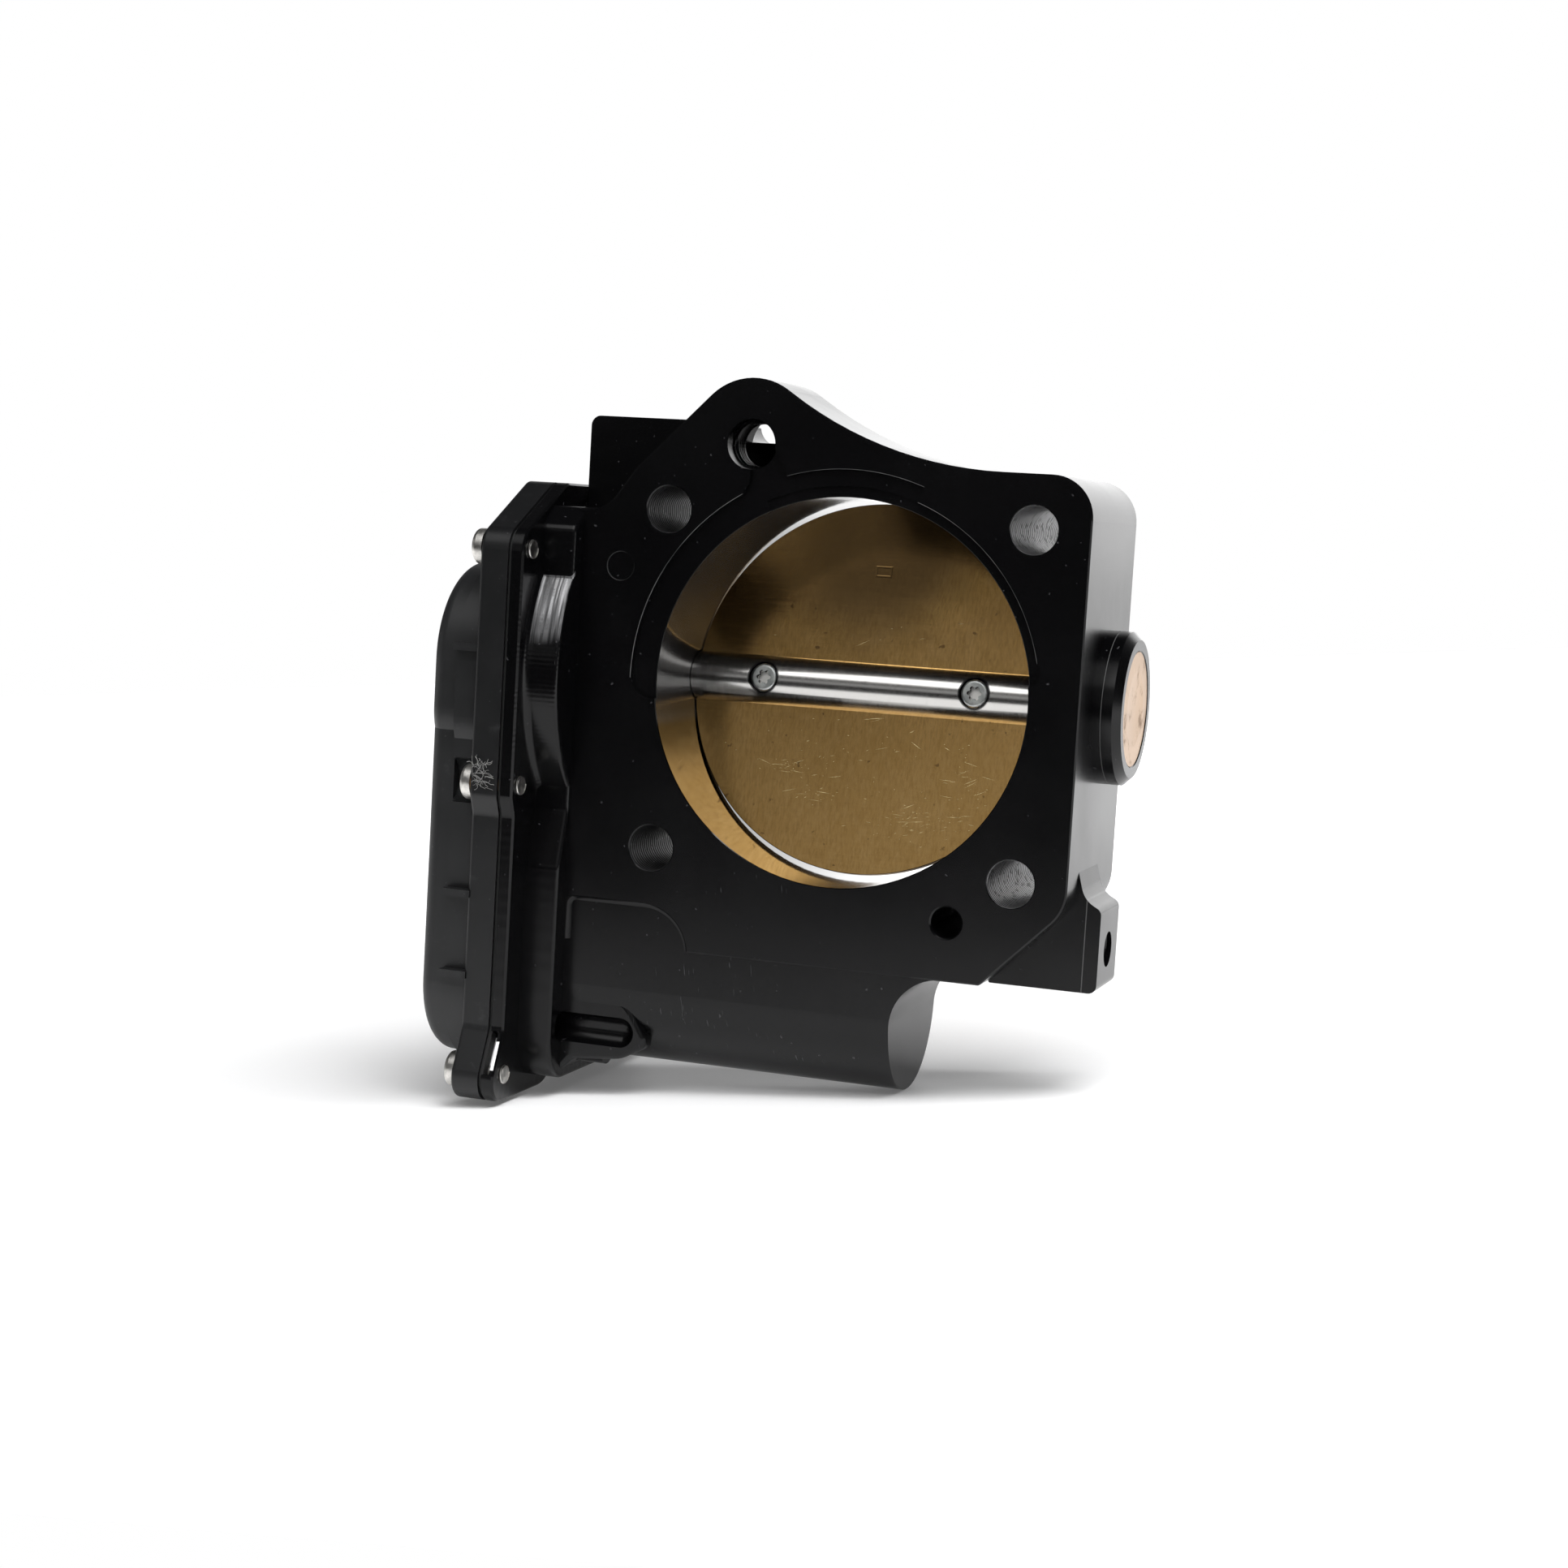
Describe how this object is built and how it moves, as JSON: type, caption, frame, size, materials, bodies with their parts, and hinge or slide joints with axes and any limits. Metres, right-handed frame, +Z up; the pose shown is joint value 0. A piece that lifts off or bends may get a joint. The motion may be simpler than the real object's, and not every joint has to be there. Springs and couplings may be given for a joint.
{
  "type": "electronic throttle body",
  "caption": "Motor-driven throttle body: round air bore with a pivoting plate, bolted gear cover with connector, motor housing below and a side tab.",
  "frame": {"origin": "on the bore axis, in the front mounting face, at the centre of the four bolt holes", "axes": "+Y along the bore into the body, the front mounting face looks along -Y; +X along the throttle shaft towards the bearing boss; +Z up, away from the motor"},
  "size_m": [0.1353, 0.0906, 0.1427],
  "materials": {
    "black_anodised": "black hard anodised aluminium, semi-gloss",
    "bronze_plug": "matt bronze, lightly marked",
    "plate_brass": "rolled brass, satin, fine scratches",
    "shaft_steel": "ground and polished steel",
    "zinc_screw": "zinc plated steel",
    "pan_screw": "plain steel, satin",
    "bearing_steel": "polished bearing steel",
    "nylon_natural": "natural nylon",
    "nylon_dark": "dark nylon",
    "black_rubber": "matt black rubber",
    "gasket": "black gasket sheet, torn edge",
    "cover_plastic": "dark grey glass-filled plastic, matt",
    "spring_steel": "drawn spring steel",
    "bronze": "sintered bronze",
    "brass_pinion": "machined brass",
    "plated_can": "zinc plated drawn steel",
    "ferrite": "dark ferrite",
    "laminations": "stacked steel laminations",
    "copper": "enamelled copper wire",
    "carbon": "carbon brush",
    "tin_plate": "tin plated blade",
    "board": "green circuit board",
    "chip": "black moulded chip"
  },
  "bodies": {
    "housing": {"main_housing": "black_anodised", "bearing_plug": "bronze_plug", "passage_plug": "black_anodised", "rear_face_o_ring": "black_rubber", "shaft_seals": "black_rubber", "gear_side_bearing_outer_ring": "bearing_steel", "gear_side_bearing_balls": "bearing_steel", "gear_side_bearing_cage": "nylon_dark", "plug_side_bearing_outer_ring": "bearing_steel", "plug_side_bearing_balls": "bearing_steel", "plug_side_bearing_cage": "nylon_dark", "return_spring": "spring_steel", "intermediate_gear_pin": "shaft_steel", "stop_pins": "shaft_steel", "motor_can": "plated_can", "motor_magnets": "ferrite", "motor_end_plate": "nylon_dark", "motor_screws": "zinc_screw", "motor_bushes": "bronze", "motor_brushes": "carbon", "brush_holders": "nylon_dark", "motor_terminals": "tin_plate", "motor_wave_washer": "spring_steel", "case_gasket": "gasket", "gear_cover": "cover_plastic", "cover_screws": "pan_screw", "cover_screw_sleeves": "bronze", "sensor_board": "board", "sensor_chips": "chip", "motor_contacts": "tin_plate", "connector_terminals": "tin_plate"},
    "throttle": {"throttle_shaft": "shaft_steel", "throttle_plate": "plate_brass", "plate_screws": "zinc_screw", "gear_side_bearing_inner_ring": "bearing_steel", "plug_side_bearing_inner_ring": "bearing_steel", "sector_gear": "nylon_natural", "sector_gear_insert": "plated_can", "shaft_nut": "zinc_screw", "sensor_magnets": "ferrite", "spring_guide": "nylon_dark"},
    "intermediate": {"intermediate_gear": "nylon_natural", "intermediate_gear_bush": "bronze"},
    "rotor": {"motor_shaft": "shaft_steel", "motor_armature": "laminations", "motor_windings": "copper", "motor_commutator": "copper", "motor_pinion": "brass_pinion"}
  },
  "joints": [
    {"name": "throttle_turn", "type": "hinge", "parent": "housing", "child": "throttle", "pos_m": [0, 0.024, 0], "axis": [-1, 0, 0], "range_deg": [-8.4, 75.6], "stiffness_Nm_per_rad": 0.3},
    {"name": "intermediate_gear_turn", "type": "hinge", "parent": "housing", "child": "intermediate", "pos_m": [-0.064, 0.0246, -0.03504], "axis": [-1, 0, 0], "range_deg": [-303, 34]},
    {"name": "motor_turn", "type": "hinge", "parent": "housing", "child": "rotor", "pos_m": [-0.025, 0.0173, -0.0613], "axis": [-1, 0, 0], "range_deg": [-130, 1167]}
  ],
  "couplings": [
    {"joint": "intermediate_gear_turn", "follows": "throttle_turn", "ratio": -4},
    {"joint": "motor_turn", "follows": "throttle_turn", "ratio": 15.429}
  ]
}
